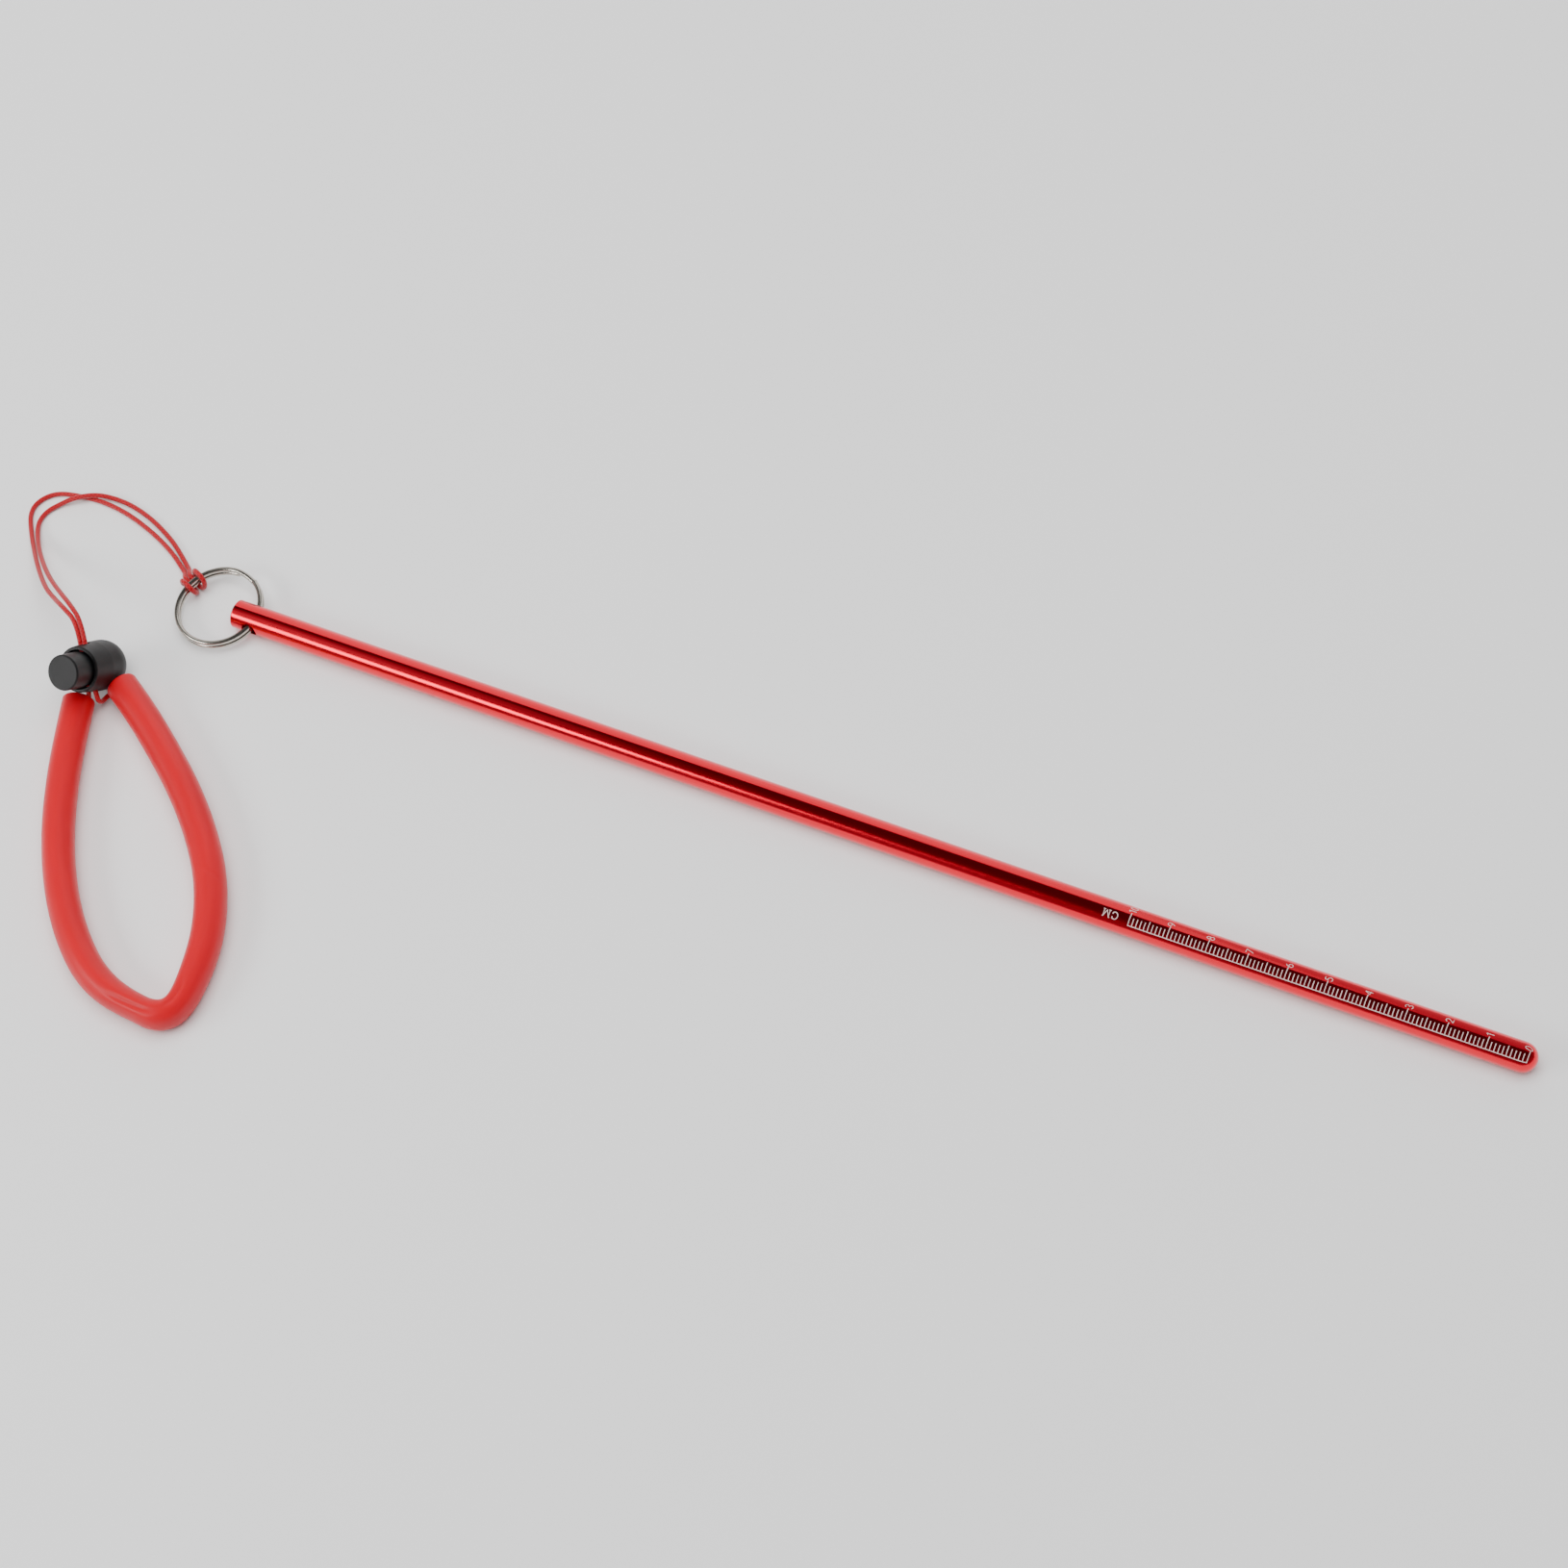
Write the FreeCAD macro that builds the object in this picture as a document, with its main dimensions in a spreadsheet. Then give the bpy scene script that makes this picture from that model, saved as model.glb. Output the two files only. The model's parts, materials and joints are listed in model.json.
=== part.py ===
"""Diver's pointer stick with a centimetre scale, split ring and wrist lanyard.

FreeCAD 1.1 macro, millimetres, +Z up.  The stick lies on the ground plane along X with its rounded tip
at +X.  The origin is on the ground, under the middle of the stick and its ring.

Sub-parts
    pointer_rod    round aluminium rod, hemispherical tip, cross hole near the butt end
    split_ring     key ring of two stacked turns of round wire through the cross hole
    lanyard_cord   doubled thin cord from the cord lock to its cow hitch on the ring and back
    wrist_cord     the same cord's stretch through the lock and round inside the wrist sleeve
    wrist_sleeve   soft tube that makes the wrist loop
    lock_barrel    round-ended body of the cord lock
    lock_plunger   push button with the cord slot
    lock_spring    compression spring behind the plunger
"""

import FreeCAD, Part
import math
import os

import Sketcher

V = FreeCAD.Vector
DOC = FreeCAD.newDocument("dive_pointer")


# ----------------------------------------------------------------------------- driving dimensions

DIMENSIONS = {
    # rod
    "rod_length": 353.0,
    "rod_radius": 3.75,
    "butt_edge": 0.45,
    "hole_inset": 5.6,
    "hole_radius": 2.1,
    # split ring: wire, mean coil radius, rest tilt of its plane along X and Y, seat in the hole
    "wire_radius": 0.7,
    "coil_radius": 11.2,
    "coil_pitch": 1.44,
    "ring_pitch_deg": 2.5,
    "ring_roll_deg": 3.2,
    "ring_play": 0.15,
    "ring_height": 4.0,
    "step_from_deg": 60.0,
    "step_to_deg": 90.0,
    "hitch_deg": 156.0,
    # cord and sleeve
    "cord_radius": 0.65,
    "strand_offset": 0.72,
    "sleeve_radius": 4.2,
    "sleeve_bore": 2.7,
    # cord lock, measured along its own axis from the centre of its round end
    "barrel_radius": 6.5,
    "barrel_mouth": 10.3,
    "taper_start": 3.6,
    "mouth_radius": 5.95,
    "mouth_edge": 0.45,
    "flare_radius": 5.2,
    "flare_depth": 2.4,
    "bore_radius": 4.75,
    "bore_floor": 1.7,
    "cord_level": 6.0,
    "cord_hole": 1.8,
    "plunger_radius": 4.65,
    "plunger_face": 17.0,
    "plunger_end": 3.1,
    "plunger_edge": 0.5,
    "plunger_travel": 3.0,
    "slot_half_width": 1.8,
    "slot_margin": 0.75,
    "spring_seat": 4.9,
    "spring_gap": 0.02,
    "seat_radius": 3.3,
    "spring_radius": 2.5,
    "spring_wire": 0.28,
    "spring_turns": 5.0,
    # pose of the lock
    "lock_elevation": 47.0,
    "lock_azimuth": -95.0,
    "lock_turn": 30.0,
}

# The lock leans on its round end beside the sleeve: the centre of that end.
LOCK_CENTRE = V(-192.16, -28.18, 6.56)

# Half of the lanyard from the lock (first point) to the hitch, lower strand and upper strand.
STRAND_A = [
    (-196.04, -28.08, 14.54),
    (-198.52, -24.30, 17.85),
    (-203.80, -21.80, 17.90),
    (-209.60, -18.60, 14.80),
    (-215.20, -15.20, 11.90),
    (-223.60, -7.80, 6.60),
    (-230.60, -0.60, 2.30),
    (-235.00, 4.60, 0.70),
    (-238.30, 9.60, 0.67),
    (-238.20, 13.90, 0.68),
    (-234.80, 17.90, 0.67),
    (-228.40, 19.30, 0.67),
    (-221.40, 19.90, 0.68),
    (-213.00, 18.90, 0.67),
    (-203.20, 15.80, 0.67),
    (-195.80, 12.40, 0.67),
    (-190.80, 9.10, 0.72),
]
STRAND_B = [
    (-194.75, -27.66, 15.03),
    (-197.23, -23.88, 18.34),
    (-202.40, -20.50, 18.20),
    (-209.90, -15.90, 14.30),
    (-217.60, -10.70, 10.00),
    (-226.00, -3.40, 4.90),
    (-231.40, 2.50, 1.70),
    (-234.60, 7.60, 0.70),
    (-234.30, 11.60, 0.68),
    (-232.00, 14.70, 0.95),
    (-228.30, 17.50, 2.30),
    (-223.60, 20.30, 2.30),
    (-219.20, 21.90, 0.80),
    (-212.90, 21.60, 0.67),
    (-205.20, 19.40, 0.67),
    (-197.40, 15.60, 0.67),
    (-193.60, 13.00, 0.67),
    (-190.10, 10.40, 0.72),
]

# The cow hitch, from strand A round the wire to strand B: along the wire, outwards from the ring, up.
HITCH = [
    (-0.45, 5.80, -2.20),
    (0.32, 4.50, -1.26),
    (0.69, 3.30, -0.66),
    (0.69, 2.10, -1.00),
    (0.69, 1.05, -2.34),
    (0.80, -1.05, -2.34),
    (1.40, -2.42, -1.05),
    (1.95, -2.42, 1.00),
    (2.10, -1.02, 2.36),
    (2.10, 0.95, 2.36),
    (2.10, 2.36, 0.95),
    (2.10, 2.80, -1.25),
    (1.20, 2.95, -2.25),
    (-1.20, 2.95, -2.25),
    (-2.10, 2.80, -1.25),
    (-2.10, 2.36, 0.95),
    (-2.10, 0.95, 2.36),
    (-2.10, -1.02, 2.36),
    (-1.95, -2.42, 1.00),
    (-1.40, -2.42, -1.05),
    (-0.80, -1.05, -2.34),
    (-0.69, 1.05, -2.34),
    (-0.69, 2.10, -1.00),
    (-0.69, 3.30, -0.66),
    (-1.20, 4.50, -1.34),
    (-1.85, 5.80, -2.20),
]

# The wrist loop: the sleeve's centre line from its left end round the fold to its right end.
SLEEVE = [
    (-192.90, -40.30, 4.25),
    (-190.20, -48.00, 4.25),
    (-186.20, -58.60, 4.25),
    (-180.30, -71.60, 4.25),
    (-172.90, -84.10, 4.25),
    (-163.90, -95.60, 4.25),
    (-153.50, -105.20, 4.25),
    (-143.40, -109.60, 4.25),
    (-132.90, -114.30, 4.25),
    (-123.50, -108.30, 4.25),
    (-124.00, -97.40, 4.25),
    (-127.30, -85.80, 4.25),
    (-133.80, -73.50, 4.25),
    (-142.90, -62.40, 4.25),
    (-154.30, -51.80, 4.25),
    (-167.20, -42.20, 4.25),
    (-178.00, -34.85, 4.25),
    (-184.40, -30.90, 4.25),
]

# The cord's way from the lock's upper mouth through the lock, round inside the sleeve and back up.
WRIST_OUT = [
    (-196.04, -28.08, 14.54),
    (-189.95, -37.40, 6.40),
    (-190.90, -38.80, 5.20),
    (-192.10, -40.20, 4.60),
    (-192.20, -42.60, 4.30),
    (-191.10, -46.60, 4.20),
    (-188.20, -54.40, 4.25),
    (-184.60, -62.80, 4.30),
]
WRIST_BACK = [
    (-176.80, -36.20, 3.90),
    (-181.00, -34.00, 3.35),
    (-184.00, -32.40, 3.15),
    (-186.05, -31.90, 2.90),
    (-187.50, -33.00, 2.50),
    (-188.05, -34.80, 2.65),
    (-187.85, -36.80, 3.60),
    (-188.20, -37.65, 6.28),
    (-194.75, -27.66, 15.03),
]


# ----------------------------------------------------------------------------- spreadsheet

def make_sheet():
    """The driving dimensions and the lengths worked out from them, each under its alias."""
    sheet = DOC.addObject("Spreadsheet::Sheet", "dimensions")
    rows = dict(DIMENSIONS)
    rows["ring_reach"] = (
        "=2 * coil_radius * cos(ring_pitch_deg * 1 deg) + wire_radius"
        " + coil_pitch / 2 * sin(ring_pitch_deg * 1 deg) - hole_inset - ring_play"
    )
    rows["butt_place"] = "=(ring_reach - rod_length) / 2"
    for row, (alias, value) in enumerate(rows.items(), start=1):
        sheet.set("A%d" % row, alias)
        sheet.set("B%d" % row, str(value))
        sheet.setAlias("B%d" % row, alias)
    DOC.recompute()
    return sheet


SHEET = make_sheet()


def size(alias):
    """The value of one cell, in millimetres or degrees."""
    return float(getattr(SHEET, alias))


def cell(formula):
    """A formula over the sheet's aliases, written as an expression for setExpression."""
    words = formula.replace("(", "( ").replace(")", " )").split()
    return " ".join("dimensions." + word if word.isidentifier() else word for word in words)


# ----------------------------------------------------------------------------- sketches and bodies

ORIGIN_POINT = (-1, 1)
X_AXIS = -1
Y_AXIS = -2


def new_body(label):
    body = DOC.addObject("PartDesign::Body", label)
    body.Label = label
    return body


def new_sketch(body, name, plane):
    """An empty sketch on one of the body's own origin planes."""
    sketch = body.newObject("Sketcher::SketchObject", name)
    support = [feature for feature in body.Origin.OriginFeatures if feature.Role == plane][0]
    sketch.AttachmentSupport = (support, [""])
    sketch.MapMode = "FlatFace"
    return sketch


def bind(sketch, kind, geometry, point, formula):
    """A distance from the sketch's origin to a point, bound to the sheet."""
    start = sketch.getPoint(geometry, point)
    value = start.x if kind == "DistanceX" else start.y
    index = sketch.addConstraint(Sketcher.Constraint(kind, *ORIGIN_POINT, geometry, point, value))
    sketch.setExpression("Constraints[%d]" % index, cell(formula))


def place_point(sketch, geometry, point, across, along):
    """Holds a point at (across, along); the formula "0" holds it on the axis instead."""
    for kind, formula, axis in (("DistanceX", across, Y_AXIS), ("DistanceY", along, X_AXIS)):
        if formula == "0":
            sketch.addConstraint(Sketcher.Constraint("PointOnObject", geometry, point, axis))
        else:
            bind(sketch, kind, geometry, point, formula)


def evaluate(formula):
    """A formula over the sheet's aliases as a number."""
    names = {alias: size(alias) for alias in list(DIMENSIONS) + ["ring_reach", "butt_place"]}
    total = 0.0
    sign = 1.0
    for word in formula.split():
        if word in "+-":
            sign = 1.0 if word == "+" else -1.0
        else:
            total += sign * (names[word] if word in names else float(word))
    return total


def closed_outline(sketch, corners, arc_after=None, arc_centre=None):
    """A closed outline through corners given as pairs of formulas.

    The side after corner number arc_after is a quarter circle about arc_centre, turning anticlockwise.
    """
    places = [V(evaluate(across), evaluate(along), 0) for across, along in corners]
    count = len(corners)
    for number, here in enumerate(places):
        there = places[(number + 1) % count]
        if number == arc_after:
            middle = V(evaluate(arc_centre[0]), evaluate(arc_centre[1]), 0)
            circle = Part.Circle(middle, V(0, 0, 1), (here - middle).Length)
            sketch.addGeometry(Part.ArcOfCircle(circle, circle.parameter(here), circle.parameter(there)))
        else:
            sketch.addGeometry(Part.LineSegment(here, there))
    for number in range(count):
        follower = (number + 1) % count
        sketch.addConstraint(Sketcher.Constraint("Coincident", number, 2, follower, 1))
    for number, (across, along) in enumerate(corners):
        if arc_after is not None and number == (arc_after + 1) % count:
            # a quarter circle about a held centre is fixed by its start and one axis
            hold_arc_end(sketch, number, across, along)
        else:
            place_point(sketch, number, 1, across, along)
    if arc_after is not None:
        place_point(sketch, arc_after, 3, *arc_centre)


def hold_arc_end(sketch, number, across, along):
    """Holds the end of a quarter circle by the one coordinate that it shares with its centre."""
    if across == "0":
        sketch.addConstraint(Sketcher.Constraint("PointOnObject", number, 1, Y_AXIS))
    elif along == "0":
        sketch.addConstraint(Sketcher.Constraint("PointOnObject", number, 1, X_AXIS))
    else:
        bind(sketch, "DistanceX", number, 1, across)


def revolve(body, sketch, axis):
    feature = body.newObject("PartDesign::Revolution", sketch.Name + "_turned")
    feature.Profile = sketch
    feature.ReferenceAxis = (sketch, [axis])
    feature.Angle = 360.0
    return feature


def cut_through(body, sketch):
    """A pocket through the whole body, both ways from the sketch."""
    DOC.recompute()
    before = body.Shape.Volume
    feature = body.newObject("PartDesign::Pocket", sketch.Name + "_cut")
    feature.Profile = sketch
    feature.Type = "ThroughAll"
    feature.Midplane = True
    DOC.recompute()
    if body.Shape.Volume >= before:
        raise RuntimeError(sketch.Name + " removes nothing")
    return feature


def round_edges(body, name, alias, wanted):
    """Fillets the tip's circular edges that the test picks."""
    DOC.recompute()
    base = body.Tip
    edges = []
    for number, edge in enumerate(base.Shape.Edges, start=1):
        if not edge.Degenerated and isinstance(edge.Curve, Part.Circle) and wanted(edge.Curve):
            edges.append("Edge%d" % number)
    if not edges:
        raise RuntimeError("no edge found for " + name)
    feature = body.newObject("PartDesign::Fillet", name)
    feature.Base = (base, edges)
    feature.setExpression("Radius", cell(alias))
    DOC.recompute()
    return feature


# ----------------------------------------------------------------------------- rod

def make_rod():
    """A round bar with a hemispherical tip, turned about X, and a hole drilled across it."""
    body = new_body("pointer_rod")
    outline = new_sketch(body, "rod_outline", "XZ_Plane")
    corners = [
        ("0", "0"),
        ("rod_length", "0"),
        ("rod_length - rod_radius", "rod_radius"),
        ("0", "rod_radius"),
    ]
    closed_outline(outline, corners, arc_after=1, arc_centre=("rod_length - rod_radius", "0"))
    revolve(body, outline, "H_Axis")

    drill = new_sketch(body, "cross_hole", "XZ_Plane")
    drill.addGeometry(Part.Circle(V(size("hole_inset"), 0, 0), V(0, 0, 1), size("hole_radius")))
    place_point(drill, 0, 3, "hole_inset", "0")
    index = drill.addConstraint(Sketcher.Constraint("Radius", 0, size("hole_radius")))
    drill.setExpression("Constraints[%d]" % index, cell("hole_radius"))
    cut_through(body, drill)

    limit = size("rod_radius") / 2
    round_edges(body, "butt_rounding", "butt_edge", lambda ring: abs(ring.Center.x) < limit)
    body.setExpression("Placement.Base.x", cell("butt_place"))
    body.setExpression("Placement.Base.z", cell("rod_radius"))
    return body


# ----------------------------------------------------------------------------- tubes along a path

def rounded_path(points):
    """Straight runs joined by tangent arcs, as one wire, with its smallest arc radius."""
    corners = [V(*point) for point in points]
    edges = []
    radii = []
    last = corners[0]
    for before, corner, after in zip(corners, corners[1:], corners[2:]):
        back = (before - corner).normalize()
        ahead = (after - corner).normalize()
        shorter = min((before - corner).Length, (after - corner).Length)
        setback = 0.45 * shorter
        half_turn = (math.pi - back.getAngle(ahead)) / 2
        radius = setback / math.tan(half_turn)
        bisector = (back + ahead).normalize()
        start = corner + back * setback
        end = corner + ahead * setback
        middle = corner + bisector * (math.hypot(radius, setback) - radius)
        edges.append(Part.LineSegment(last, start).toShape())
        edges.append(Part.Arc(start, middle, end).toShape())
        radii.append(radius)
        last = end
    edges.append(Part.LineSegment(last, corners[-1]).toShape())
    return Part.Wire(edges), radii


def tube(name, points, radius):
    """A round solid along a rounded path.  Its volume is compared with section times length."""
    path, radii = rounded_path(points)
    start = V(*points[0])
    direction = V(*points[1]) - start
    section = Part.Wire([Part.Circle(start, direction, radius).toShape()])
    solid = path.makePipeShell([section], True, False)
    expected = math.pi * radius ** 2 * path.Length
    error = abs(solid.Volume - expected) / expected
    print("%s: length %.1f, volume off by %.2f %%" % (name, path.Length, 100 * error))
    print("   radii " + " ".join("%.1f" % value for value in radii))
    if error > 0.01:
        raise RuntimeError(name + ": the swept volume is wrong")
    return solid


def code_shape(label, shape, placement=None):
    """A sub-part whose shape is worked out here from the sheet's values."""
    feature = DOC.addObject("Part::Feature", label)
    feature.Label = label
    feature.Shape = shape
    feature.Placement = placement or FreeCAD.Placement()
    return feature


# ----------------------------------------------------------------------------- split ring

def ring_placement():
    """The ring hangs in the cross hole with its near side at ring_height, and leans on the hitch."""
    tilt = FreeCAD.Rotation(V(0, 1, 0), -size("ring_pitch_deg"))
    roll = FreeCAD.Rotation(V(1, 0, 0), size("ring_roll_deg"))
    turn = tilt.multiply(roll)
    near_side = V(size("butt_place") + size("hole_inset") + size("ring_play"), 0, size("ring_height"))
    centre = near_side - turn.multVec(V(size("coil_radius"), 0, 0))
    return FreeCAD.Placement(centre, turn)


def make_ring():
    """Two turns of wire in two layers.  One layer steps to the other between the two free ends."""
    steps_per_turn = 24
    step = 360.0 / steps_per_turn
    corner_radius = size("coil_radius") / math.cos(math.radians(step / 2))
    low = -size("coil_pitch") / 2
    step_from = size("step_from_deg")
    step_to = size("step_to_deg")
    points = []
    for number in range(2 * steps_per_turn - 2 + 1):
        angle = step_to + number * step
        climb = (angle - 360.0 - step_from) / (step_to - step_from)
        level = low + size("coil_pitch") * min(1.0, max(0.0, climb))
        turn = math.radians(angle)
        points.append((corner_radius * math.cos(turn), corner_radius * math.sin(turn), level))
    wire = tube("split_ring", points, size("wire_radius"))
    return code_shape("split_ring", wire, ring_placement())


# ----------------------------------------------------------------------------- cord and sleeve

def hitch_points():
    """The hitch's route in the part's frame: along the wire, outwards and up from the wire's centre."""
    place = ring_placement()
    angle = math.radians(size("hitch_deg"))
    outward = place.Rotation.multVec(V(math.cos(angle), math.sin(angle), 0))
    along = place.Rotation.multVec(V(-math.sin(angle), math.cos(angle), 0))
    upward = place.Rotation.multVec(V(0, 0, 1))
    centre = place.Base + outward * size("coil_radius")
    print("hitch centre", centre, "wire direction", along)
    return [tuple(centre + along * a + outward * b + upward * c) for a, b, c in HITCH]


def make_lanyard_cord():
    route = STRAND_A + hitch_points() + STRAND_B[::-1]
    return code_shape("lanyard_cord", tube("lanyard_cord", route, size("cord_radius")))


def make_wrist_cord():
    route = WRIST_OUT + SLEEVE[3:-2] + WRIST_BACK
    return code_shape("wrist_cord", tube("wrist_cord", route, size("cord_radius")))


def make_sleeve():
    """The sleeve's outside less its bore, both swept along the same centre line."""
    outside = code_shape("sleeve_outside", tube("sleeve_outside", SLEEVE, size("sleeve_radius")))
    bore = code_shape("sleeve_bore", tube("sleeve_bore", SLEEVE, size("sleeve_bore")))
    sleeve = DOC.addObject("Part::Cut", "wrist_sleeve")
    sleeve.Label = "wrist_sleeve"
    sleeve.Base = outside
    sleeve.Tool = bore
    return sleeve


# ----------------------------------------------------------------------------- cord lock

def lock_placement():
    """Local +Z is the plunger's axis towards its button, local +X the cords' way down and out."""
    elevation = math.radians(size("lock_elevation"))
    azimuth = math.radians(size("lock_azimuth"))
    turn = math.radians(size("lock_turn"))
    heading = V(math.cos(azimuth), math.sin(azimuth), 0)
    axis = heading * math.cos(elevation) + V(0, 0, math.sin(elevation))
    downhill = heading * math.sin(elevation) - V(0, 0, math.cos(elevation))
    sideways = axis.cross(downhill)
    cord_way = downhill * math.cos(turn) + sideways * math.sin(turn)
    across = axis.cross(cord_way)
    rotation = FreeCAD.Rotation(cord_way, across, axis, "ZXY")
    print("lock axis", axis, "cord way", cord_way)
    return FreeCAD.Placement(LOCK_CENTRE, rotation)


def make_barrel(place):
    """A cup turned about Z: round end below, tapered mouth above, a cord hole right across."""
    body = new_body("lock_barrel")
    outline = new_sketch(body, "barrel_outline", "XZ_Plane")
    corners = [
        ("0", "0 - barrel_radius"),
        ("barrel_radius", "0"),
        ("barrel_radius", "taper_start"),
        ("mouth_radius", "barrel_mouth"),
        ("flare_radius", "barrel_mouth"),
        ("bore_radius", "barrel_mouth - flare_depth"),
        ("bore_radius", "0 - bore_floor"),
        ("0", "0 - bore_floor"),
    ]
    closed_outline(outline, corners, arc_after=0, arc_centre=("0", "0"))
    revolve(body, outline, "V_Axis")

    hole = new_sketch(body, "barrel_cord_hole", "YZ_Plane")
    hole.addGeometry(Part.Circle(V(0, size("cord_level"), 0), V(0, 0, 1), size("cord_hole")))
    place_point(hole, 0, 3, "0", "cord_level")
    index = hole.addConstraint(Sketcher.Constraint("Radius", 0, size("cord_hole")))
    hole.setExpression("Constraints[%d]" % index, cell("cord_hole"))
    cut_through(body, hole)

    mouth = size("barrel_mouth")
    rim = size("mouth_radius")
    round_edges(
        body, "mouth_rounding", "mouth_edge",
        lambda ring: abs(ring.Center.z - mouth) < 0.01 and abs(ring.Radius - rim) < 0.01,
    )
    body.Placement = place
    return body


def make_plunger(place):
    """A round button with a blind spring seat and a slot that lets the cords pass over its travel."""
    body = new_body("lock_plunger")
    outline = new_sketch(body, "plunger_outline", "XZ_Plane")
    corners = [
        ("0", "spring_seat"),
        ("seat_radius", "spring_seat"),
        ("seat_radius", "plunger_end"),
        ("plunger_radius", "plunger_end"),
        ("plunger_radius", "plunger_face"),
        ("0", "plunger_face"),
    ]
    closed_outline(outline, corners)
    revolve(body, outline, "V_Axis")

    slot = new_sketch(body, "plunger_slot", "YZ_Plane")
    low = "cord_level - slot_margin"
    high = "cord_level + slot_margin + plunger_travel"
    corners = [
        ("0 - slot_half_width", low),
        ("slot_half_width", low),
        ("slot_half_width", high),
        ("0 - slot_half_width", high),
    ]
    closed_outline(slot, corners)
    cut_through(body, slot)

    face = size("plunger_face")
    round_edges(body, "button_rounding", "plunger_edge", lambda ring: abs(ring.Center.z - face) < 0.01)
    body.Placement = place
    return body


def make_spring(place):
    """A coil spring between the bore's floor and the plunger's seat."""
    body = new_body("lock_spring")
    section = new_sketch(body, "spring_section", "XZ_Plane")
    start = "spring_gap + spring_wire - bore_floor"
    middle = V(size("spring_radius"), evaluate(start), 0)
    section.addGeometry(Part.Circle(middle, V(0, 0, 1), size("spring_wire")))
    place_point(section, 0, 3, "spring_radius", start)
    index = section.addConstraint(Sketcher.Constraint("Radius", 0, size("spring_wire")))
    section.setExpression("Constraints[%d]" % index, cell("spring_wire"))
    coil = body.newObject("PartDesign::AdditiveHelix", "spring_coil")
    coil.Profile = section
    coil.ReferenceAxis = (section, ["V_Axis"])
    coil.Mode = "height-turns-angle"
    coil.setExpression("Height", cell("spring_seat + bore_floor - 2 * spring_wire - 2 * spring_gap"))
    coil.setExpression("Turns", cell("spring_turns"))
    body.Placement = place
    return body


# ----------------------------------------------------------------------------- build and export

def check(features):
    """Every object must be computed without error, and every sub-part valid and not empty."""
    for item in DOC.Objects:
        if "Invalid" in item.State or "Error" in item.State:
            raise RuntimeError("%s failed: %s" % (item.Name, item.State))
    for feature in features:
        shape = feature.Shape
        if shape.isNull() or not shape.isValid() or shape.Volume <= 0:
            raise RuntimeError(feature.Label + " has no valid shape")


def main():
    lock = lock_placement()
    features = [
        make_rod(),
        make_ring(),
        make_lanyard_cord(),
        make_wrist_cord(),
        make_sleeve(),
        make_barrel(lock),
        make_plunger(lock),
        make_spring(lock),
    ]
    DOC.recompute()
    check(features)
    os.makedirs("parts", exist_ok=True)
    for feature in features:
        feature.Shape.exportStep("parts/%s.step" % feature.Label)
        box = feature.Shape.BoundBox
        print("%-14s volume %9.1f  x %.2f..%.2f  y %.2f..%.2f  z %.2f..%.2f" % (
            feature.Label, feature.Shape.Volume,
            box.XMin, box.XMax, box.YMin, box.YMax, box.ZMin, box.ZMax))


main()
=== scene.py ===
"""Diver's pointer stick: anodised rod with an etched centimetre scale, split ring, braided lanyard,
cord lock and soft wrist sleeve, as a Blender add-on that is run as a script.

Everything is in metres in the part's own frame: the rod lies on the ground along X with its tip at +X.
"""

import json
import math

import bpy
import numpy as np
from mathutils import Matrix, Vector


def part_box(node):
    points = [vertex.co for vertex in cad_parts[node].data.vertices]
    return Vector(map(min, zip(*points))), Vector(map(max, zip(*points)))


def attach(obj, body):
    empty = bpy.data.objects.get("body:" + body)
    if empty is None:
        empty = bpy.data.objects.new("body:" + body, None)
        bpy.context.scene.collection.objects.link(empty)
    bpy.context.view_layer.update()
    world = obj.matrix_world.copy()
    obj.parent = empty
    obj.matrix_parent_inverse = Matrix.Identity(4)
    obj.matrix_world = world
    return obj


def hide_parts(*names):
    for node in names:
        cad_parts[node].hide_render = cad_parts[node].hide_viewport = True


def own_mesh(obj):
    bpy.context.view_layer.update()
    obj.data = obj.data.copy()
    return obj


bl_info = {
    "name": "Dive pointer stick",
    "version": (1, 0, 0),
    "blender": (4, 5, 0),
    "location": "View3D > Sidebar > Dive pointer",
    "description": "Builds the finishes, etched scale, cords and sleeve of a diver's pointer stick",
    "category": "Object",
}

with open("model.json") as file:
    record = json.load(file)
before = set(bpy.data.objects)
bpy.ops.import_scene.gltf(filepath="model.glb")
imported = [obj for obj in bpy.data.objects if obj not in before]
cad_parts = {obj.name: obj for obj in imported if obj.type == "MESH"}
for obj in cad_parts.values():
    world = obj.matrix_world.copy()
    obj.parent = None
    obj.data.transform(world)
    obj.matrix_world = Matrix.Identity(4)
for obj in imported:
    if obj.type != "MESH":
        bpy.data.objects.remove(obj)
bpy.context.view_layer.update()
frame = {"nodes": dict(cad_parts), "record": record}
MM = 0.001

ROD_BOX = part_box("pointer_rod")
ROD_TIP = ROD_BOX[1].x
ROD_AXIS_HEIGHT = (ROD_BOX[0].z + ROD_BOX[1].z) / 2
ROD_RADIUS = (ROD_BOX[1].z - ROD_BOX[0].z) / 2


def linear(code):
    """An sRGB hex colour such as "#C8102E" as a linear RGBA tuple."""
    values = [int(code[place:place + 2], 16) / 255 for place in (1, 3, 5)]
    return tuple(v / 12.92 if v <= 0.04045 else ((v + 0.055) / 1.055) ** 2.4 for v in values) + (1.0,)


def darker(colour, share):
    """A linear colour with only a share of its light."""
    return tuple(share * value for value in colour[:3]) + (1.0,)


# ----------------------------------------------------------------------------- routes, in millimetres

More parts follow.
